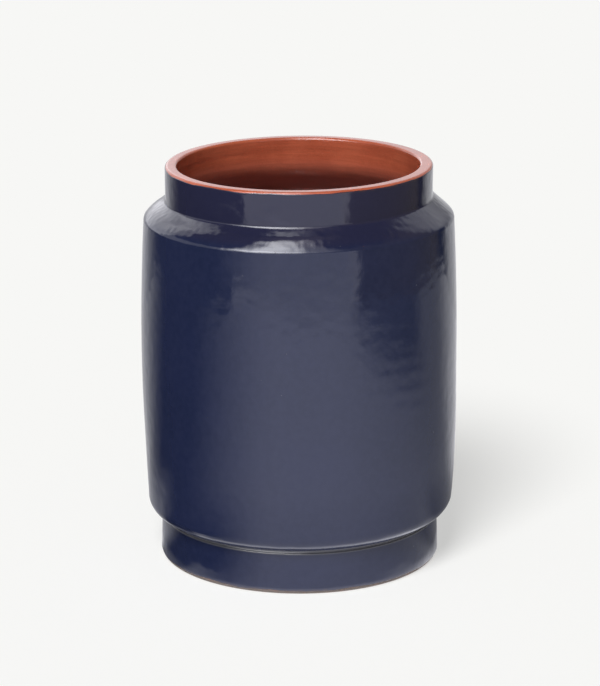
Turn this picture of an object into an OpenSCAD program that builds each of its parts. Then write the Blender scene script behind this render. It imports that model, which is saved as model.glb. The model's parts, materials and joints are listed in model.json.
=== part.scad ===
// Glazed terracotta pot: a thrown clay body with a stepped foot, a navy glaze
// outside and a clear glaze over the rim and the inside.
// Millimetres, +Z up, origin in the middle of the face that it stands on.

/* [Pot] */
// Overall height
pot_h = 280; // [250:1:340]
// Greatest diameter, half way up the wall
belly_d = 220.6; // [216:0.2:260]
// Wall thickness of the clay and its glazes, half way up
wall_t = 8.2; // [6:0.2:10]
// Thickness of the navy glaze
navy_t = 0.4; // [0.2:0.05:0.6]
// Thickness of the clear glaze
clear_t = 0.25; // [0.15:0.05:0.3]

/* [Neck and rim] */
// Outside diameter of the neck at the rim
rim_d = 185.2; // [180:0.2:190]
// Outside diameter of the neck where it meets the shoulder
neck_d = 184.6; // [180:0.2:190]
// Height of the neck
neck_h = 23.6; // [18:0.1:32]
// Thickness of the rim
rim_t = 8.8; // [7:0.2:10]
// Radius that rounds both edges of the rim
rim_round = 1.3; // [0.8:0.1:2.5]
// Depth below the rim at which the navy glaze ends
rim_bare_h = 2; // [1.6:0.1:4]

/* [Wall and shoulder] */
// Diameter of the wall at the top, under the shoulder
wall_top_d = 215.2; // [212:0.2:216]
// Diameter of the wall at the bottom, over the foot
wall_low_d = 214.2; // [212:0.2:216]
// Height of the shoulder
shoulder_h = 15.2; // [13:0.1:17]
// Slope of the shoulder where it meets the neck
shoulder_slope = 40; // [34:1:44]
// Height of the rounded lower edge of the wall
low_round_h = 9.6; // [8:0.2:12]

/* [Foot] */
// Diameter of the foot near the base
foot_d = 196.4; // [194:0.2:198]
// Diameter of the foot at its top edge
foot_top_d = 194.8; // [193:0.2:196]
// Height of the foot
foot_h = 30; // [26:0.5:36]
// Height of the groove between the foot and the wall
groove_h = 2.2; // [2:0.1:4]
// Depth of the groove
groove_depth = 0.8; // [0.5:0.1:2]
// Height of the unglazed band at the base
base_bare_h = 3; // [2.8:0.1:6]
// Radius of the rounded bottom edge
base_round = 2.5; // [1.5:0.1:2.6]
// Width of the ring that the pot stands on
ring_w = 12; // [8:0.5:20]
// Depth of the hollow inside that ring
ring_h = 6; // [3:0.5:8]

/* [Inside] */
// Thickness of the floor
floor_t = 12; // [8:0.5:16]
// Diameter of the drain hole
drain_d = 20; // [12:1:26]

/* [Hidden] */
clay = "#b4654a";
navy = "#232a4b";
clear_over_clay = "#a34d35";
turn_fn = 180;
curve_steps = 14;
arc_steps = 6;
wall_steps = 16;

neck_z = pot_h - neck_h;
shoulder_z = neck_z - shoulder_h;
underside_z = foot_h + groove_h;
wall_z = underside_z + low_round_h;
groove_r = foot_top_d / 2 - groove_depth;
mouth_r = rim_d / 2 - rim_t;
floor_z = ring_h + floor_t;

// Handles of the curve over the shoulder, in shares of its height
shoulder_edge = 0.22 * shoulder_h;
shoulder_run = 1.05 * shoulder_h;

// The inside of the wall: its radius near the floor and under the shoulder
inner_low_z = wall_z + 18;
inner_low_r = wall_low_d / 2 - wall_t - 2;
inner_top_z = shoulder_z - 5;
inner_top_r = wall_top_d / 2 - wall_t + 0.8;
inner_mid_r = belly_d / 2 - wall_t;
inner_neck_z = neck_z + 5;
floor_curve_w = 36;

function arc(c, rx, ry, a0, a1, steps) =
    [for (i = [0:steps]) let (a = a0 + (a1 - a0) * i / steps) c + [rx * cos(a), ry * sin(a)]];
function bezier(p0, p1, p2, p3, steps) =
    [for (i = [0:steps]) let (t = i / steps, s = 1 - t)
        s * s * s * p0 + 3 * s * s * t * p1 + 3 * s * t * t * p2 + t * t * t * p3];
// A wall that bellies out: its radii at the start, the middle and the end
function belly(z0, z1, r0, rm, r1, steps) =
    [for (i = [0:steps]) let (t = i / steps)
        [r0 * (1 - t) * (1 - 2 * t) + 4 * rm * t * (1 - t) + r1 * t * (2 * t - 1), z0 + (z1 - z0) * t]];
function tail(p) = [for (i = [1:len(p) - 1]) p[i]];
function reversed(p) = [for (i = [len(p) - 1:-1:0]) p[i]];
function unit(v) = v / norm(v);
// The direction away from the clay on the way from a to b
function side(a, b) = let (d = unit(b - a)) [d[1], -d[0]];
function moved(p, i, d) =
    let (last = len(p) - 1,
         n0 = side(p[max(i - 1, 0)], p[max(i, 1)]),
         n1 = side(p[min(i, last - 1)], p[min(i + 1, last)]))
    p[i] - d * (n0 + n1) / (1 + n0 * n1);
function inset(p, d) = [for (i = [0:len(p) - 1]) moved(p, i, d)];

// Outside of the navy glaze, from the base band up to the rim band
foot_side = concat(
    [[foot_d / 2, base_bare_h]],
    arc([foot_top_d / 2 - 1, foot_h - 1], 1, 1, 0, 90, arc_steps),
    [[groove_r, foot_h + 0.3], [groove_r, underside_z]]);
low_edge = bezier(
    [groove_r + 0.6, underside_z],
    [groove_r + 5, underside_z + 0.2],
    [wall_low_d / 2 - 0.8, underside_z + 4],
    [wall_low_d / 2, wall_z], curve_steps);
wall_side = belly(wall_z, shoulder_z, wall_low_d / 2, belly_d / 2, wall_top_d / 2, wall_steps);
shoulder = bezier(
    [wall_top_d / 2, shoulder_z],
    [wall_top_d / 2, shoulder_z + shoulder_edge],
    [neck_d / 2 + shoulder_run * cos(shoulder_slope), neck_z - shoulder_run * sin(shoulder_slope)],
    [neck_d / 2, neck_z], curve_steps);
navy_z = pot_h - rim_bare_h;
outside = concat(foot_side, low_edge, tail(wall_side), tail(shoulder),
                 [[rim_d / 2, navy_z - 1], [rim_d / 2, navy_z]]);

// Outside of the clear glaze, from there over the rim and down to the drain hole
rim_r = rim_d / 2 - navy_t + clear_t;
rim = concat(
    [[rim_r, navy_z]],
    arc([rim_r - rim_round, pot_h - rim_round], rim_round, rim_round, 0, 90, arc_steps),
    arc([mouth_r + rim_round, pot_h - rim_round], rim_round, rim_round, 90, 180, arc_steps));
inner_shoulder = bezier(
    [mouth_r, inner_neck_z], [mouth_r, neck_z - 7],
    [inner_top_r, shoulder_z + 1], [inner_top_r, inner_top_z], curve_steps);
inner_wall = belly(inner_top_z, inner_low_z, inner_top_r, inner_mid_r, inner_low_r, wall_steps);
floor_curve = arc([inner_low_r - floor_curve_w, inner_low_z], floor_curve_w, inner_low_z - floor_z,
                  0, -90, curve_steps);
inside = concat(rim, inner_shoulder, tail(inner_wall), tail(floor_curve), [[drain_d / 2, floor_z]]);

// The clay under both glazes, and its bare underside
core_out = inset(outside, navy_t);
core_in = inset(inside, clear_t);
base_r = core_out[0][0];
ring_r = base_r - base_round - ring_w;
underside = concat(
    [[drain_d / 2, ring_h], [ring_r - 3, ring_h], [ring_r - 1, 1], [ring_r, 0]],
    arc([base_r - base_round, base_round], base_round, base_round, -90, 0, arc_steps));

module clay_body() {
    color(clay) rotate_extrude($fn = turn_fn) polygon(concat(underside, core_out, tail(core_in)));
}

module outer_glaze() {
    color(navy) rotate_extrude($fn = turn_fn) polygon(concat(outside, reversed(core_out)));
}

module inner_glaze() {
    color(clear_over_clay) rotate_extrude($fn = turn_fn) polygon(concat(inside, reversed(core_in)));
}

clay_body();
outer_glaze();
inner_glaze();
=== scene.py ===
"""A glazed terracotta pot: its looks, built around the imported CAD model.

Lengths of the pot are in millimetres, and MM turns them into metres where Blender needs
them. The studio and the camera are in metres.
Angles round the pot are 0 towards the camera (-Y) and grow towards +X.
"""

import json
import math

import bpy
import numpy as np
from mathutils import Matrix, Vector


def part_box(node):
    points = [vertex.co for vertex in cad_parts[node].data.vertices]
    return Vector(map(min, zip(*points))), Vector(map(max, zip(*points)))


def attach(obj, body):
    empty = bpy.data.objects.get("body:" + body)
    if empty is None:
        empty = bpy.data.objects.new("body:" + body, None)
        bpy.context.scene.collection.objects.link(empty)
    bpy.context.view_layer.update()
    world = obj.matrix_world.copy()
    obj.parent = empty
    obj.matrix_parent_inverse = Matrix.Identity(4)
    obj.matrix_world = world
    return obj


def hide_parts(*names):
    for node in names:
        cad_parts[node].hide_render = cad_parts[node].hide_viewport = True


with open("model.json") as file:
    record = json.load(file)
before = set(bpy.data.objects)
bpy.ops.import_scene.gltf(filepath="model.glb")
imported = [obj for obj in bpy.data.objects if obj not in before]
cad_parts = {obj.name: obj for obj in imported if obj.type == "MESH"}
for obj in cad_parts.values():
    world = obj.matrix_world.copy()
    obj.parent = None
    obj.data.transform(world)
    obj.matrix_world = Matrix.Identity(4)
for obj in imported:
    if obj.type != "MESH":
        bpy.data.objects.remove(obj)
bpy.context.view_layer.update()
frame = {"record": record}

MM = 0.001

# ---------------------------------------------------------------- dimensions

MOUNTS = {m["name"]: m for m in frame["record"]["mounts"]}
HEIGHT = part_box("inner_glaze")[1].z / MM
BELLY_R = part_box("outer_glaze")[1].x / MM
MOUTH_R = MOUNTS["mouth"]["dims"]["r_mm"]
DRAIN_R = MOUNTS["drain_hole"]["dims"]["r_mm"]

NECK_R = 92.45
NECK_H = 23.6
RIM_ROUND = 1.8
RIM_SAG = 0.4
RIM_BARE_H = 1.2
WALL_TOP_R = 107.6
WALL_LOW_R = 107.1
WALL_T = 8.2
SHOULDER_H = 15.2
SHOULDER_SLOPE = 40
SHOULDER_EDGE = 0.22
ROLL_Z = 250.2
ROLL_HALF = 3.3
ROLL_HEIGHT = 0.65
LOW_ROUND_H = 9.6
FOOT_R = 98.2
FOOT_TOP_R = 97.4
FOOT_H = 29.6
GROOVE_H = 2.2
GROOVE_DEPTH = 0.8
BASE_BARE_H = 2.4
BASE_ROUND = 2.4
RING_W = 12.0
RING_H = 6.0
FLOOR_T = 12.0
FLOOR_CURVE_W = 36.0
NECK_FILLET = 1.1

NAVY_T = 0.4
CLEAR_T = 0.2
UNDER = 0.04

RIM_Z = HEIGHT - RIM_SAG
NECK_Z = HEIGHT - NECK_H
SHOULDER_Z = NECK_Z - SHOULDER_H
UNDERSIDE_Z = FOOT_H + GROOVE_H
WALL_Z = UNDERSIDE_Z + LOW_ROUND_H
GROOVE_R = FOOT_TOP_R - GROOVE_DEPTH
NAVY_TOP_Z = RIM_Z - RIM_BARE_H
FLOOR_Z = RING_H + FLOOR_T
INNER_LOW_Z = WALL_Z + 18
INNER_LOW_R = WALL_LOW_R - WALL_T - 2
INNER_TOP_Z = SHOULDER_Z - 5
INNER_TOP_R = WALL_TOP_R - WALL_T + 0.8
INNER_MID_R = BELLY_R - WALL_T
CLAY_FOOT_R = FOOT_R - NAVY_T

# ------------------------------------------------------------ outline pieces


def arc(centre, rx, ry, start, end, steps):
    """Points on an elliptical arc, from one angle to another in degrees."""
    a = np.radians(np.linspace(start, end, steps + 1))
    return np.stack([centre[0] + rx * np.cos(a), centre[1] + ry * np.sin(a)], -1)


def bezier(p0, p1, p2, p3, steps):
    t = np.linspace(0, 1, steps + 1)[:, None]
    s = 1 - t
    p0, p1, p2, p3 = map(np.array, (p0, p1, p2, p3))
    return s**3 * p0 + 3 * s * s * t * p1 + 3 * s * t * t * p2 + t**3 * p3


def line(start, end, steps):
    t = np.linspace(0, 1, steps + 1)[:, None]
    return np.array(start) * (1 - t) + np.array(end) * t


def belly(z0, z1, r0, rm, r1, steps):
    """A wall that bellies out: its radii at the start, the middle and the end."""
    t = np.linspace(0, 1, steps + 1)
    r = r0 * (1 - t) * (1 - 2 * t) + 4 * rm * t * (1 - t) + r1 * t * (2 * t - 1)
    return np.stack([r, z0 + (z1 - z0) * t], -1)


def fillet(outline, corner, reach, steps):
    """Rounds the corner of an outline, starting and ending reach away from it."""
    corner = np.array(corner)
    apart = np.hypot(*(outline - corner).T)
    index = int(np.argmin(apart))
    before = outline[:index][apart[:index] > reach]
    after = outline[index:][apart[index:] > reach]
    start = corner + reach * (before[-1] - corner) / np.hypot(*(before[-1] - corner))
    end = corner + reach * (after[0] - corner) / np.hypot(*(after[0] - corner))
    bend = bezier(start, (start + 2 * corner) / 3, (end + 2 * corner) / 3, end, steps)
    return np.concatenate([before, bend, after])


def chain(*parts):
    """Joins stretches of outline and drops points that lie on each other."""
    points = np.concatenate([np.atleast_2d(np.array(p, float)) for p in parts])
    keep = np.hypot(*np.diff(points, axis=0).T) > 0.02
    return points[np.concatenate([[True], keep])]


def sides(outline):
    """The direction away from the clay at each point of an open outline."""
    d = np.gradient(outline, axis=0)
    n = np.stack([d[:, 1], -d[:, 0]], -1)
    return n / np.hypot(*n.T)[:, None]


def inset(outline, depth):
    return outline - sides(outline) * depth


def simpler(points, slack):
    """Fewer points that stay within slack of the smooth outline.

    It doesn't know of the form added afterwards. Inside, the rows it drops let the clay and
    the glaze's back come through the clear glaze at some of the throwing rings.
    """
    if len(points) < 3:
        return points
    start, end = points[0], points[-1]
    way = (end - start) / max(np.hypot(*(end - start)), 1e-9)
    away = np.abs((points[:, 0] - start[0]) * way[1] - (points[:, 1] - start[1]) * way[0])
    worst = int(np.argmax(away))
    if away[worst] <= slack:
        return np.array([start, end])
    first = simpler(points[: worst + 1], slack)
    return np.concatenate([first[:-1], simpler(points[worst:], slack)])


# ---------------------------------------------------------------- outlines


def outside_outline():
    """The navy surface, from the base band up to the band under the rim."""
    foot = chain(
        line((FOOT_R, BASE_BARE_H + 0.5), (FOOT_TOP_R, FOOT_H - 0.9), 16),
        arc((FOOT_TOP_R - 0.9, FOOT_H - 0.9), 0.9, 0.9, 0, 80, 6),
        bezier((GROOVE_R + 0.2, FOOT_H + 0.1), (GROOVE_R - 0.2, FOOT_H + 0.6),
               (GROOVE_R - 0.2, UNDERSIDE_Z - 0.4), (GROOVE_R + 0.8, UNDERSIDE_Z), 7),
    )
    low_edge = bezier(
        (GROOVE_R + 1, UNDERSIDE_Z), (GROOVE_R + 5, UNDERSIDE_Z + 0.2),
        (WALL_LOW_R - 0.8, UNDERSIDE_Z + 4), (WALL_LOW_R, WALL_Z), 22)
    wall = belly(WALL_Z, SHOULDER_Z, WALL_LOW_R, BELLY_R, WALL_TOP_R, 104)
    slope = math.radians(SHOULDER_SLOPE)
    run = 1.05 * SHOULDER_H
    shoulder = bezier(
        (WALL_TOP_R, SHOULDER_Z), (WALL_TOP_R, SHOULDER_Z + SHOULDER_EDGE * SHOULDER_H),
        (NECK_R + run * math.cos(slope), NECK_Z - run * math.sin(slope)), (NECK_R, NECK_Z), 34)
    neck = line((NECK_R, NECK_Z), (NECK_R, NAVY_TOP_Z - 0.5), 20)
    whole = chain(foot, low_edge, wall, shoulder, neck)
    return fillet(whole, (NECK_R, NECK_Z), NECK_FILLET, 7)


def inside_outline():
    """The clear glaze's surface, from the navy's end over the rim and down to the drain hole."""
    rim_r = NECK_R - NAVY_T + CLEAR_T
    rim = chain(
        line((rim_r, NAVY_TOP_Z - 1.5), (rim_r, RIM_Z - RIM_ROUND), 4),
        arc((rim_r - RIM_ROUND, RIM_Z - RIM_ROUND), RIM_ROUND, RIM_ROUND, 0, 90, 8),
        line((rim_r - RIM_ROUND, RIM_Z), (MOUTH_R + RIM_ROUND, RIM_Z), 4),
        arc((MOUTH_R + RIM_ROUND, RIM_Z - RIM_ROUND), RIM_ROUND, RIM_ROUND, 90, 180, 8),
    )
    neck = line((MOUTH_R, RIM_Z - RIM_ROUND), (MOUTH_R, NECK_Z + 5), 14)
    shoulder = bezier((MOUTH_R, NECK_Z + 5), (MOUTH_R, NECK_Z - 7),
                      (INNER_TOP_R, SHOULDER_Z + 1), (INNER_TOP_R, INNER_TOP_Z), 22)
    wall = belly(INNER_TOP_Z, INNER_LOW_Z, INNER_TOP_R, INNER_MID_R, INNER_LOW_R, 96)
    curve = arc((INNER_LOW_R - FLOOR_CURVE_W, INNER_LOW_Z), FLOOR_CURVE_W, INNER_LOW_Z - FLOOR_Z,
                0, -90, 30)
    floor_line = line((INNER_LOW_R - FLOOR_CURVE_W, FLOOR_Z), (DRAIN_R + 1.5, FLOOR_Z), 26)
    hole_edge = arc((DRAIN_R + 1.5, FLOOR_Z - 1.5), 1.5, 1.5, 90, 180, 5)
    return chain(rim, neck, shoulder, wall, curve, floor_line, hole_edge)


def underside_outline():
    """The bare clay, from the drain hole under the floor and the ring to the base band."""
    ring_r = CLAY_FOOT_R - BASE_ROUND - RING_W
    return chain(
        line((DRAIN_R, FLOOR_Z - 2), (DRAIN_R, RING_H + 1), 6),
        arc((DRAIN_R + 1, RING_H + 1), 1, 1, 180, 270, 4),
        line((DRAIN_R + 1, RING_H), (ring_r - 4, RING_H), 44),
        bezier((ring_r - 4, RING_H), (ring_r - 1.5, RING_H), (ring_r - 1.5, 0), (ring_r + 1, 0), 12),
        line((ring_r + 1, 0), (CLAY_FOOT_R - BASE_ROUND, 0), 8),
        arc((CLAY_FOOT_R - BASE_ROUND, BASE_ROUND), BASE_ROUND, BASE_ROUND, -90, 0, 10),
        line((CLAY_FOOT_R, BASE_ROUND), (CLAY_FOOT_R, BASE_BARE_H + 2), 4),
    )


# ---------------------------------------------------------- uneven surfaces


class Ripple:
    """Smooth random waves over a turned surface: a mix of sines that closes round the pot."""

    def __init__(self, seed, height, shortest, longest, count=28, flatness=1.0):
        rng = np.random.default_rng(seed)
        length = rng.uniform(shortest, longest, count)
        turn = rng.uniform(0, 2 * math.pi, count)
        self.round = np.round(np.cos(turn) / flatness * 2 * math.pi * BELLY_R / length)
        self.along = np.sin(turn) * 2 * math.pi / length
        self.phase = rng.uniform(0, 2 * math.pi, count)
        self.height = height * math.sqrt(2 / count)

    def at(self, angle, distance):
        total = np.zeros(np.broadcast(angle, distance).shape)
        for m, k, p in zip(self.round, self.along, self.phase):
            total += np.cos(m * angle + k * distance + p)
        return total * self.height


def smooth(value, low, high):
    t = np.clip((value - low) / (high - low), 0, 1)
    return t * t * (3 - 2 * t)


HAND = Ripple(3, 0.06, 45, 110)
PEEL = Ripple(5, 0.019, 8, 17, 40)
DIMPLE = Ripple(8, 0.008, 4.5, 8, 40)
RINGS = Ripple(11, 0.022, 7, 14, 16, flatness=60)
RING_PATCH = Ripple(13, 1.0, 60, 140, 12)
DRIFT = Ripple(17, 1.0, 30, 90, 12)
SHOULDER_DROPS = Ripple(19, 0.032, 4.5, 8, 40)
INNER_RINGS = Ripple(23, 0.14, 5, 14, 16, flatness=40)

# The whole pot's unevenness: lengths in mm, and tilts as the rise per mm to the right. A side
# is where it is, in degrees round the pot: its start, its end and the blur of both.
OVAL = 0.16
THREE_SIDED = 0.1
BODY_TILT = 0.004
NECK_TILT = 0.005
LOW_WALL_FULLER = 0.7
LOW_WALL_SIDE = (70, 110, 35)
TOP_TO_LEFT = 0.55
LOW_TO_RIGHT = 0.35
NECK_TO_LEFT = 0.4
NECK_BASE_DIP = 0.3
NECK_BASE_TILT = 0.9
NECK_BASE_LEFT = 0.9
NECK_BASE_SIDE = (-125, -65, 22)


def leaned(r, z, angle):
    """The whole pot's hand-made lean and roundness, the same for every piece.

    The numbers in smooth() are the heights between which each effect comes or goes.
    """
    rise = smooth(z, 5, 60)
    r = r + rise * (OVAL * np.cos(2 * angle + 0.6) + THREE_SIDED * np.cos(3 * angle + 2.1))
    low_wall = smooth(z, 31, 42) * (1 - smooth(z, 60, 150))
    r = r + LOW_WALL_FULLER * within(angle, *LOW_WALL_SIDE) * low_wall
    x = r * np.sin(angle)
    y = -r * np.cos(angle)
    low = smooth(z, 30, 60) * (1 - smooth(z, 70, 150))
    x = x - TOP_TO_LEFT * smooth(z, 60, 190) + LOW_TO_RIGHT * low
    x = x - NECK_TO_LEFT * smooth(z, 200, 262) * (1 - smooth(r, MOUTH_R, NECK_R))
    dip = smooth(z, SHOULDER_Z + 7, NECK_Z) * (1 - smooth(z, NECK_Z, NECK_Z + 14))
    z = z + x * (BODY_TILT * smooth(z, 20, 45) + NECK_TILT * smooth(z, 200, 262))
    depth = NECK_BASE_DIP + NECK_BASE_TILT * np.cos(angle + 1.0)
    depth = depth + NECK_BASE_LEFT * within(angle, *NECK_BASE_SIDE)
    return x, y, z - dip * depth * smooth(r, MOUTH_R + 4, NECK_R)


def within(angle, low, high, blur):
    """1 from low to high degrees round the pot, falling smoothly to 0 within blur on either side."""
    turned = np.degrees(np.mod(angle + math.pi, 2 * math.pi) - math.pi)
    return smooth(turned, low - blur, low + blur) * (1 - smooth(turned, high - blur, high + blur))


def outer_form(angle, z):
    """Long waves and throwing rings in the clay's outside, which the navy glaze follows."""
    body = smooth(z, 34, 60) * (1 - smooth(z, NECK_Z + 8, NAVY_TOP_Z - 3))
    patch = 0.5 * smooth(RING_PATCH.at(angle, z), -0.4, 1.2)
    ringed = within(angle, 35, 85, 15) * smooth(z, 45, 70) * (1 - smooth(z, 130, 180))
    waves = HAND.at(angle, z) + RINGS.at(angle, z) * np.maximum(patch, ringed)
    roll = within(angle, -40, 18, 14) * np.exp(-(((z - ROLL_Z) / ROLL_HALF) ** 2))
    return body * waves + ROLL_HEIGHT * roll


def inner_form(angle, z):
    """Long waves and throwing rings in the clay's inside, which the clear glaze follows."""
    body = smooth(z, FLOOR_Z + 4, FLOOR_Z + 30) * (1 - smooth(z, NAVY_TOP_Z - 6, NAVY_TOP_Z))
    deep = 1 - smooth(z, NECK_Z - 8, NECK_Z + 6)
    return body * (HAND.at(angle + 2, z) + INNER_RINGS.at(angle, z) * (0.35 + 0.65 * deep))


def navy_ripple(angle, distance, z):
    """How far the navy glaze stands proud of its even surface."""
    on_shoulder = smooth(z, SHOULDER_Z - 2, SHOULDER_Z + 2) * (1 - smooth(z, NECK_Z - 2, NECK_Z + 1))
    drops = SHOULDER_DROPS.at(angle, distance) * on_shoulder
    return PEEL.at(angle, distance) + DIMPLE.at(angle, distance) + drops


def clear_ripple(angle, distance, z):
    return DIMPLE.at(angle, distance)


def bare_ripple(angle, distance, z):
    """Turning marks under the floor; the ring that the pot stands on stays flat."""
    marks = 0.10 * np.sin(distance * 1.9 + 2 * np.sin(angle)) + 0.06 * DRIFT.at(angle, distance)
    return marks * smooth(z, 1.5, RING_H - 1)


def no_form(angle, z):
    return np.zeros(np.broadcast(angle, z).shape)


# ------------------------------------------------------------- mesh builder


class Stretch:
    """A stretch of a closed outline: its points, the clay's form that it follows and its ripple."""

    def __init__(self, points, form, outward=1, ripple=None, waves=(0, 0)):
        self.points = points
        self.form = form
        self.outward = outward
        self.ripple = ripple
        self.waves = waves

    def turned(self, angle):
        points = self.points
        distance = np.concatenate([[0], np.cumsum(np.hypot(*np.diff(points, axis=0).T))])[:, None]
        normal = sides(points) * self.outward if len(points) > 1 else np.array([[1.0, 0.0]])
        r = points[:, :1]
        z = points[:, 1:]
        proud = self.form(angle, z)
        if self.ripple:
            proud = proud + self.ripple(angle, distance, z)
        wander = DRIFT.at(angle, 0 * z) + 0.4 * PEEL.at(angle, 0 * z) / 0.03
        start = 1 - smooth(distance, 0, 6)
        end = smooth(distance, distance[-1] - 6, distance[-1])
        shift = wander * (self.waves[0] * start + self.waves[1] * end)
        x, y, z = leaned(r + normal[:, :1] * proud, z + normal[:, 1:] * proud + shift, angle)
        return np.stack([x, y, z + 0 * x], -1)


def turn(name, stretches, segments):
    """Turns a closed outline, given as stretches, into a closed mesh."""
    angle = np.linspace(0, 2 * math.pi, segments, endpoint=False)[None, :]
    points = np.concatenate([s.turned(angle) for s in stretches])
    rings = len(points)
    i = np.arange(rings)[:, None]
    j = np.arange(segments)[None, :]
    i1 = (i + 1) % rings
    j1 = (j + 1) % segments
    quads = np.stack([i * segments + j, i * segments + j1, i1 * segments + j1, i1 * segments + j], -1)
    mesh = bpy.data.meshes.new(name)
    mesh.from_pydata((points.reshape(-1, 3) * MM).tolist(), [], quads.reshape(-1, 4).tolist())
    mesh.shade_smooth()
    piece = bpy.data.objects.new(name, mesh)
    bpy.context.scene.collection.objects.link(piece)
    return piece


# ---------------------------------------------------------------- materials


class Nodes:
    """Short ways to add nodes to a tree."""

    def __init__(self, tree):
        self.tree = tree

    def feed(self, socket, value):
        if isinstance(value, bpy.types.NodeSocket):
            self.tree.links.new(value, socket)
        else:
            socket.default_value = value

    def node(self, kind, settings=None, **inputs):
        made = self.tree.nodes.new("ShaderNode" + kind)
        for key, value in (settings or {}).items():
            setattr(made, key, value)
        for key, value in inputs.items():
            self.feed(made.inputs[key.replace("_", " ")], value)
        return made

    def math(self, operation, *values):
        made = self.node("Math", {"operation": operation})
        for socket, value in zip(made.inputs, values):
            self.feed(socket, value)
        return made.outputs["Value"]

    def vector(self, operation, *values):
        made = self.node("VectorMath", {"operation": operation})
        for socket, value in zip(made.inputs, values):
            self.feed(socket, value)
        return made.outputs["Vector"]

    def between(self, value, low, high, first=0.0, last=1.0):
        made = self.node("MapRange", {"interpolation_type": "SMOOTHSTEP"}, Value=value)
        made.inputs["From Min"].default_value = low
        made.inputs["From Max"].default_value = high
        made.inputs["To Min"].default_value = first
        made.inputs["To Max"].default_value = last
        return made.outputs["Result"]

    def band(self, value, low, high, blur):
        """1 between low and high, falling smoothly to 0 within blur on either side of each."""
        above = self.between(value, low - blur, low + blur)
        below = self.between(value, high - blur, high + blur, 1.0, 0.0)
        return self.math("MULTIPLY", above, below)

    def sector(self, azimuth, start, end, start_blur, end_blur):
        """1 from start to end on the way round, falling smoothly to 0 within the blur of each."""
        middle = (start + end) / 2
        half = (end - start) / 2
        turned = self.math("WRAP", self.math("SUBTRACT", azimuth, middle), 180.0, -180.0)
        after = self.between(turned, -half - start_blur, -half + start_blur)
        before = self.between(turned, half - end_blur, half + end_blur, 1.0, 0.0)
        return self.math("MULTIPLY", after, before)

    def azimuth(self, x, y):
        return self.math("DEGREES", self.math("ARCTAN2", x, self.math("MULTIPLY", y, -1.0)))

    def mix(self, share, first, second):
        made = self.node("Mix", {"data_type": "RGBA"})
        self.feed(made.inputs["Factor"], share)
        self.feed(made.inputs["A"], first if not isinstance(first, tuple) else (*first, 1))
        self.feed(made.inputs["B"], second if not isinstance(second, tuple) else (*second, 1))
        return made.outputs["Result"]

    def mix_shaders(self, share, first, second):
        made = self.node("MixShader")
        for socket, value in zip(made.inputs, (share, first, second)):
            self.feed(socket, value)
        return made.outputs[0]


class Paint(Nodes):
    """A material in the making."""

    def __init__(self, name):
        self.material = bpy.data.materials.new(name)
        self.material.use_nodes = True
        super().__init__(self.material.node_tree)
        self.shader = self.tree.nodes["Principled BSDF"]
        self.place = self.node("TexCoord").outputs["Object"]
        parts = self.node("SeparateXYZ", Vector=self.place).outputs
        self.x, self.y, self.z = parts["X"], parts["Y"], parts["Z"]

    def stretched(self, x, y, z):
        return self.node("Mapping", Vector=self.place, Scale=(x, y, z)).outputs["Vector"]

    def noise(self, size_mm, detail=3.0, roughness=0.5, place=None):
        made = self.node("TexNoise", Vector=place or self.place, Scale=1 / (size_mm * MM),
                         Detail=detail, Roughness=roughness)
        return made.outputs["Fac"]

    def specks(self, spacing_mm, radius_mm, share):
        """Scattered round spots: 1 in the middle of a spot and 0 between them."""
        cells = self.node("TexVoronoi", Vector=self.place, Scale=1 / (spacing_mm * MM))
        near = self.between(cells.outputs["Distance"], 0, radius_mm / spacing_mm, 1, 0)
        pick = self.node("SeparateColor", Color=cells.outputs["Color"]).outputs["Red"]
        return self.math("MULTIPLY", near, self.math("LESS_THAN", pick, share))

    def bump(self, height, distance_mm, normal=None):
        made = self.node("Bump", Height=height, Distance=distance_mm * MM, Strength=1.0)
        if normal is not None:
            self.tree.links.new(normal, made.inputs["Normal"])
        return made.outputs["Normal"]

    def finish(self, **inputs):
        for key, value in inputs.items():
            if isinstance(value, tuple):
                value = (*value, 1)
            self.feed(self.shader.inputs[key.replace("_", " ")], value)
        return self.material


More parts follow.
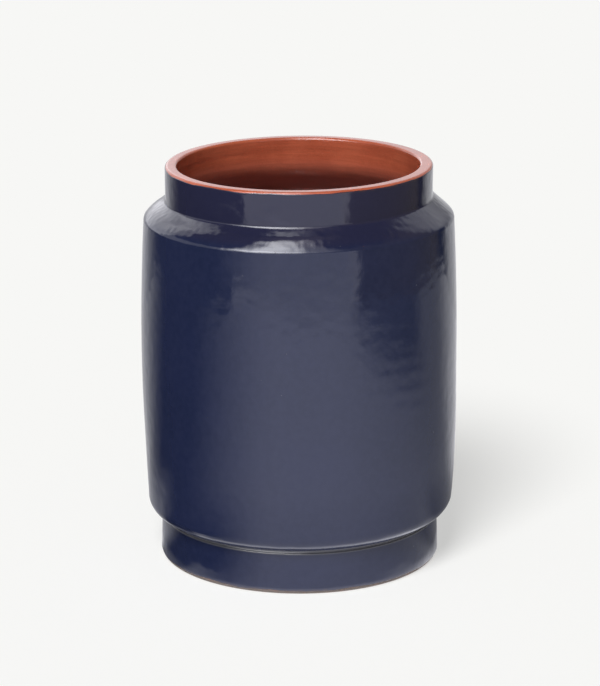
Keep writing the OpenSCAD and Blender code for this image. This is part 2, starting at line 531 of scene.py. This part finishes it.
def navy_glaze():
    p = Paint("navy_glaze")
    cloud = p.between(p.noise(60, 4, 0.6), 0.35, 0.7)
    fine = p.between(p.noise(5, 4, 0.6), 0.3, 0.7)
    deep = p.mix(cloud, (0.0118, 0.0172, 0.0500), (0.0136, 0.0192, 0.0565))
    body = p.mix(p.math("MULTIPLY", fine, 0.5), deep, (0.0188, 0.0246, 0.0640))
    high = p.between(p.z, (SHOULDER_Z + 1) * MM, (SHOULDER_Z + 7) * MM)
    purpled = p.mix(p.math("MULTIPLY", high, 0.62), body, (0.0225, 0.0205, 0.0460))
    pits = p.specks(9, 0.45, 0.14)
    dust = p.specks(13, 0.45, 0.14)
    pitted = p.mix(pits, purpled, (0.012, 0.012, 0.022))
    crease = p.band(p.z, (SHOULDER_Z + 0.5) * MM, (SHOULDER_Z + 3.5) * MM, 1.0 * MM)
    burst = p.math("MULTIPLY", p.specks(3.2, 0.5, 0.22), crease)
    dusted = p.mix(dust, p.mix(burst, pitted, (0.085, 0.030, 0.028)), (0.20, 0.20, 0.24))
    rim_edge = p.between(p.z, (NAVY_TOP_Z - 1.4) * MM, (NAVY_TOP_Z + 0.6) * MM)
    foot_edge = p.between(p.z, (BASE_BARE_H + 2.0) * MM, (BASE_BARE_H - 0.5) * MM)
    thin = p.math("MULTIPLY", p.math("MAXIMUM", rim_edge, foot_edge), p.between(p.noise(4, 3), 0.3, 0.75))
    thinned = p.mix(thin, dusted, (0.060, 0.034, 0.036))
    # Painted reflection: a pale grey band over the foot's top edge, the groove and the bottom of the
    # body's lower edge stands in for the floor mirrored there.
    groove_painted_sheen = p.band(p.z, (FOOT_H - 1.1) * MM, (UNDERSIDE_Z + 0.6) * MM, 0.7 * MM)
    colour = p.mix(groove_painted_sheen, thinned, (0.110, 0.112, 0.130))
    gloss = p.between(p.noise(18, 5, 0.65), 0.3, 0.75, 0.055, 0.10)
    peel = p.bump(p.noise(3.4, 2, 0.5, p.stretched(1, 1, 0.6)), 0.05)
    runs = p.bump(p.noise(6.5, 1, 0.4, p.stretched(1, 1, 0.3)), 0.06, peel)
    pit_normal = p.bump(p.math("SUBTRACT", dust, p.math("ADD", pits, burst)), 0.12, runs)
    return p.finish(Base_Color=colour, Roughness=gloss, IOR=1.5, Normal=pit_normal)


def clay_colour(p, light, dark):
    """Fired clay: clouds, turned streaks, grain and dark grog. Also gives the streaks and the grog."""
    clouds = p.between(p.noise(22, 5, 0.6), 0.3, 0.7)
    streaks = p.between(p.noise(2.6, 3, 0.6, p.stretched(0.05, 0.05, 1)), 0.35, 0.7)
    grain = p.between(p.noise(0.9, 3, 0.7), 0.3, 0.75)
    base = p.mix(clouds, dark, light)
    streaked = p.mix(p.math("MULTIPLY", streaks, 0.35), base, tuple(c * 0.70 for c in dark))
    grained = p.mix(p.math("MULTIPLY", grain, 0.25), streaked, tuple(min(1, c * 1.3) for c in light))
    grog = p.specks(3.4, 0.35, 0.35)
    return p.mix(p.math("MULTIPLY", grog, 0.5), grained, tuple(c * 0.45 for c in dark)), streaks, grog


# Inside, a painted shade tint turns the clay's colour greyer and pinker between these heights, from the
# neck down
SHADE_TINT_START_Z = 268
SHADE_TINT_END_Z = 236

# Painted shade on the bare base band, where it faces down at the floor: from where on outwards, and from
# where on downwards
BASE_SHADE_START_R = 93
BASE_SHADE_FULL_R = 96
BASE_SHADE_START_Z = 3.5
BASE_SHADE_FULL_Z = 2.2


def clear_glaze():
    p = Paint("clear_glazed_terracotta")
    turned, streaks, _ = clay_colour(p, (0.56, 0.134, 0.068), (0.46, 0.100, 0.050))
    # Painted shade: deep inside, where the shade falls, the clay is tinted to the colour of that shade.
    deep = p.between(p.z, SHADE_TINT_START_Z * MM, SHADE_TINT_END_Z * MM)
    colour = p.mix(p.math("MULTIPLY", deep, 0.9), turned, (0.40, 0.172, 0.150))
    rough = p.between(p.noise(7, 4, 0.6), 0.3, 0.75, 0.06, 0.17)
    skin = p.bump(p.noise(2.2, 3, 0.6), 0.07)
    lines = p.bump(streaks, 0.05, skin)
    return p.finish(Base_Color=colour, Roughness=rough, IOR=1.45, Normal=lines)


def bare_clay():
    p = Paint("bare_terracotta")
    colour, streaks, grog = clay_colour(p, (0.46, 0.20, 0.13), (0.37, 0.15, 0.095))
    out = p.math("SQRT", p.math("ADD", p.math("POWER", p.x, 2.0), p.math("POWER", p.y, 2.0)))
    outermost = p.between(out, BASE_SHADE_START_R * MM, BASE_SHADE_FULL_R * MM)
    lowest = p.between(p.z, BASE_SHADE_START_Z * MM, BASE_SHADE_FULL_Z * MM)
    band = p.math("MULTIPLY", outermost, lowest)
    # Painted shade: the outermost, lowest bare clay is greyed and darkened as if in the floor's contact
    # shadow.
    painted_base_shade = p.math("MULTIPLY", band, p.between(p.noise(6, 4, 0.6), 0.2, 0.5, 0.7, 1.0))
    base_shaded = p.mix(painted_base_shade, colour, (0.150, 0.122, 0.110))
    rough = p.between(p.noise(7, 4, 0.6), 0.3, 0.75, 0.74, 0.9)
    skin = p.bump(p.noise(1.1, 4, 0.65), 0.05)
    lines = p.bump(streaks, 0.05, skin)
    pores = p.bump(p.math("MULTIPLY", grog, -1.0), 0.08, lines)
    return p.finish(Base_Color=base_shaded, Roughness=rough, IOR=1.5, Normal=pores)


# -------------------------------------------------------------------- pieces

SLACK = 0.015
NAVY_SEGMENTS = 384
SEGMENTS = 360
OUTSIDE = outside_outline()
INSIDE = inside_outline()
CLAY_OUTSIDE = inset(OUTSIDE, NAVY_T + UNDER)
CLAY_INSIDE = inset(INSIDE, CLEAR_T + UNDER)


def make_outer_glaze():
    foot_bead = arc((FOOT_R - 0.5, BASE_BARE_H + 0.5), 0.5, 0.5, -90, -15, 4)
    rim_bead = arc((NECK_R - NAVY_T, NAVY_TOP_Z - 0.5), NAVY_T, 0.5, 12, 100, 4)
    back = simpler(inset(OUTSIDE, NAVY_T), SLACK)[::-1]
    return turn("outer_glaze_skin", [
        Stretch(chain(foot_bead, OUTSIDE, rim_bead), outer_form, 1, navy_ripple, (0.22, 0.14)),
        Stretch(back, outer_form, -1, None, (0.14, 0.22)),
    ], NAVY_SEGMENTS)


def make_inner_glaze():
    back = simpler(CLAY_INSIDE, SLACK)[::-1]
    return turn("inner_glaze_skin", [
        Stretch(INSIDE, inner_form, 1, clear_ripple),
        Stretch(back, inner_form, -1),
    ], SEGMENTS)


def make_clay_body():
    return turn("clay_body_turned", [
        Stretch(underside_outline(), no_form, 1, bare_ripple),
        Stretch(simpler(CLAY_OUTSIDE[3:], SLACK), outer_form),
        Stretch(simpler(CLAY_INSIDE[1:], SLACK), inner_form),
    ], SEGMENTS)


for maker, material, node, slot in (
    (make_outer_glaze, navy_glaze, "outer_glaze", "navy_glaze"),
    (make_inner_glaze, clear_glaze, "inner_glaze", "clear_glaze"),
    (make_clay_body, bare_clay, "clay_body", "terracotta"),
):
    piece = maker()
    piece.data.materials.append(material())
    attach(piece, "root")
    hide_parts(node)

# --------------------------------------------------------------------- studio

WHITE = (0.930, 0.930, 0.914)
FLOOR_GLOW = 0.56
FLOOR_ALBEDO = 0.5
SKY = 0.16
FLOOR_BLUE_SHARE = 0.983
FLOOR_REACH = 30
TABLE_REACH = 1.15
TABLE_BEHIND = 0.6
LENS_MM = 150.15
CAMERA_PLACE = (0.0003, -1.9271, 0.7002)
CAMERA_PITCH = 15.92


def make_plane(name, x0, x1, y0, y1, z):
    mesh = bpy.data.meshes.new(name)
    mesh.from_pydata([(x0, y0, z), (x1, y0, z), (x1, y1, z), (x0, y1, z)], [], [(0, 1, 2, 3)])
    plane = bpy.data.objects.new(name, mesh)
    bpy.context.scene.collection.objects.link(plane)
    return plane


def make_floor():
    """A pale flat floor. Over half of its brightness is its own glow, so its shadow stays light."""
    floor = make_plane("studio_floor", -FLOOR_REACH, FLOOR_REACH, -FLOOR_REACH, FLOOR_REACH, 0)
    p = Paint("studio_paper")
    p.finish(Base_Color=(FLOOR_ALBEDO, FLOOR_ALBEDO, FLOOR_ALBEDO * FLOOR_BLUE_SHARE), Roughness=1.0,
             Specular_IOR_Level=0.0, Emission_Color=WHITE, Emission_Strength=FLOOR_GLOW)
    floor.data.materials.append(p.material)
    floor.visible_glossy = False


# The lit table, which only the gloss mirrors: where its light starts and ends round the pot
# in degrees, the blur of each, and the colour. FRONT and ROUND lie away from the pot, CLOSE
# within about 0.3 m of its axis, and the NEAR ones in narrow rings right round the foot.
TABLE_FRONT = (
    (-45, 62, 35, 48, (1.42, 1.43, 1.70)),
)
TABLE_CLOSE = (
    (-33, 50, 20, 34, (1.22, 1.22, 1.42)),
    (50, 86, 35, 8, (0.60, 0.60, 0.63)),
    (86, 160, 8, 10, (0.21, 0.21, 0.22)),
    (180, 267, 8, 10, (0.52, 0.52, 0.55)),
)
TABLE_ROUND = (
    (50, 180, 35, 8, (0.42, 0.42, 0.44)),
    (122, 180, 10, 8, (0.38, 0.38, 0.40)),
    (180, 238, 8, 18, (0.66, 0.66, 0.68)),
)
NEAR_TABLE = (
    (-60, 77, 6, 8, (0.95, 0.95, 1.00)),
    (-200, 200, 1, 1, (0.25, 0.25, 0.26)),
)
NEAR_BESIDE = (
    (-60, -44, 5, 10, (0.70, 0.70, 0.75)),
    (46, 62, 10, 8, (0.35, 0.35, 0.37)),
)


def add_light(n, total, mask, colour):
    return n.vector("ADD", total, n.vector("SCALE", colour, (0, 0, 0), (0, 0, 0), mask))


def make_table_light():
    """A glowing plane just under the floor, seen only in the gloss, where it stands for a lit table."""
    table = make_plane("table_mirrored", -TABLE_REACH, TABLE_REACH, -TABLE_REACH, TABLE_BEHIND, -0.001)
    material = bpy.data.materials.new("table_light")
    material.use_nodes = True
    material.node_tree.nodes.clear()
    n = Nodes(material.node_tree)
    spot = n.node("NewGeometry").outputs["Position"]
    parts = n.node("SeparateXYZ", Vector=spot).outputs
    azimuth = n.azimuth(parts["X"], parts["Y"])
    squares = n.math("ADD", n.math("POWER", parts["X"], 2.0), n.math("POWER", parts["Y"], 2.0))
    across = n.math("SQRT", squares)
    beside = n.math("MULTIPLY", n.between(parts["X"], 0.45, 0.80), n.between(parts["Y"], 0.15, -0.10))
    fading = n.math("SUBTRACT", 1.0, n.math("MULTIPLY", beside, 0.78))
    close = n.between(across, 0.30, 0.16)
    apart = n.math("SUBTRACT", 1.0, close)
    total = n.vector("ADD", (0.02, 0.02, 0.02), (0, 0, 0))
    for lights, share in (
        (TABLE_FRONT, n.math("MULTIPLY", apart, fading)),
        (TABLE_CLOSE, close),
        (TABLE_ROUND, n.math("MULTIPLY", apart, fading)),
        (NEAR_TABLE, n.between(across, 0.104, 0.118, 1.0, 0.0)),
        (NEAR_BESIDE, n.band(across, 0.112, 0.126, 0.004)),
    ):
        for start, end, start_blur, end_blur, colour in lights:
            mask = n.math("MULTIPLY", n.sector(azimuth, start, end, start_blur, end_blur), share)
            total = add_light(n, total, mask, colour)
    glow = n.node("Emission", Color=total, Strength=1.0).outputs[0]
    clear = n.node("BsdfTransparent").outputs[0]
    shade = n.mix_shaders(n.between(across, 0.98, 1.12), glow, clear)
    out = n.node("OutputMaterial")
    n.feed(out.inputs["Surface"], shade)
    table.data.materials.append(material)
    table.visible_camera = False
    table.visible_diffuse = False
    table.visible_shadow = False
    table.visible_transmission = False


def make_sun(name, azimuth, elevation, strength, spread):
    """A soft sun, given by where it stands round the pot and how high, in degrees."""
    light = bpy.data.lights.new(name, "SUN")
    light.energy = strength
    light.angle = math.radians(spread)
    lamp = bpy.data.objects.new(name, light)
    bpy.context.scene.collection.objects.link(lamp)
    lamp.rotation_euler = (math.radians(90 - elevation), 0, math.radians(azimuth))
    lamp.visible_glossy = False


# What the gloss mirrors above the table, in degrees: where it starts and ends round the
# pot and the blur of each, its low and high elevation and their blur, and its colour.
STUDIO = (
    ("front_panel", -48, 42, 2, 3, -30, -10.5, 1.5, (1.17, 1.17, 1.32)),
    ("front_wall", -42, 45, 26, 3, -10.5, 5, 1.5, (1.04, 1.04, 1.20)),
    ("left_glow", -132, -48, 10, 10, -1, 30, 4, (0.75, 0.75, 0.78)),
    ("key_box", -50, -4, 18, 20, 16, 76, 10, (10.5, 10.5, 10.9)),
    ("key_low", -50, -4, 18, 20, 3, 34, 8, (5.0, 5.0, 5.2)),
    ("key_tail", -10, 30, 8, 14, 12, 86, 8, (1.4, 1.35, 1.4)),
    ("rear_window", -175, -121, 3, 3, 2, 53, 4, (1.05, 1.05, 1.10)),
    ("rear_lamp", -144, -132, 4, 4, 26, 44, 6, (0.90, 0.90, 0.92)),
    ("backdrop_left", -180, -139, 8, 18, -60, 28, 12, (0.68, 0.68, 0.71)),
    ("backdrop_right", 136, 180, 8, 8, -60, 10, 8, (0.72, 0.72, 0.75)),
    ("rear_glow", 166, 194, 8, 8, 6, 34, 6, (0.66, 0.66, 0.70)),
    ("rear_right", 125, 180, 8, 8, 14, 50, 7, (0.80, 0.80, 0.83)),
    ("ceiling", -200, 200, 1, 1, 76, 120, 6, (0.30, 0.25, 0.24)),
    ("room_right", 38, 122, 4, 6, -40, 50, 10, (0.18, 0.14, 0.07)),
)
DARK = (0.03, 0.03, 0.03)


def make_world():
    """The gloss mirrors the panels, the camera sees plain white, and the rest is lit evenly."""
    world = bpy.data.worlds.new("studio_world")
    bpy.context.scene.world = world
    world.use_nodes = True
    world.node_tree.nodes.clear()
    n = Nodes(world.node_tree)
    way = n.node("SeparateXYZ", Vector=n.node("TexCoord").outputs["Generated"]).outputs
    azimuth = n.azimuth(way["X"], way["Y"])
    elevation = n.math("DEGREES", n.math("ARCSINE", way["Z"]))
    total = n.vector("ADD", DARK, (0, 0, 0))
    for _, start, end, start_blur, end_blur, low, high, rise, colour in STUDIO:
        round_mask = n.sector(azimuth, start, end, start_blur, end_blur)
        mask = n.math("MULTIPLY", round_mask, n.band(elevation, low, high, rise))
        total = add_light(n, total, mask, colour)
    rays = n.node("LightPath").outputs
    mirrored = n.node("Background", Color=total, Strength=1.0).outputs[0]
    seen = n.node("Background", Color=(*WHITE, 1), Strength=1.0).outputs[0]
    sky = n.node("Background", Color=(1, 1, 1, 1), Strength=SKY).outputs[0]
    around = n.mix_shaders(rays["Is Glossy Ray"], sky, mirrored)
    shade = n.mix_shaders(rays["Is Camera Ray"], around, seen)
    out = n.node("OutputWorld")
    n.feed(out.inputs["Surface"], shade)


def make_camera():
    data = bpy.data.cameras.new("camera")
    data.lens = LENS_MM
    camera = bpy.data.objects.new("camera", data)
    bpy.context.scene.collection.objects.link(camera)
    camera.location = CAMERA_PLACE
    camera.rotation_euler = (math.radians(90 - CAMERA_PITCH), 0, 0)
    bpy.context.scene.camera = camera


make_floor()
make_table_light()
make_world()
make_sun("key_left", azimuth=-19, elevation=50, strength=2.7, spread=24)
make_camera()
bpy.context.scene.view_settings.view_transform = "Standard"
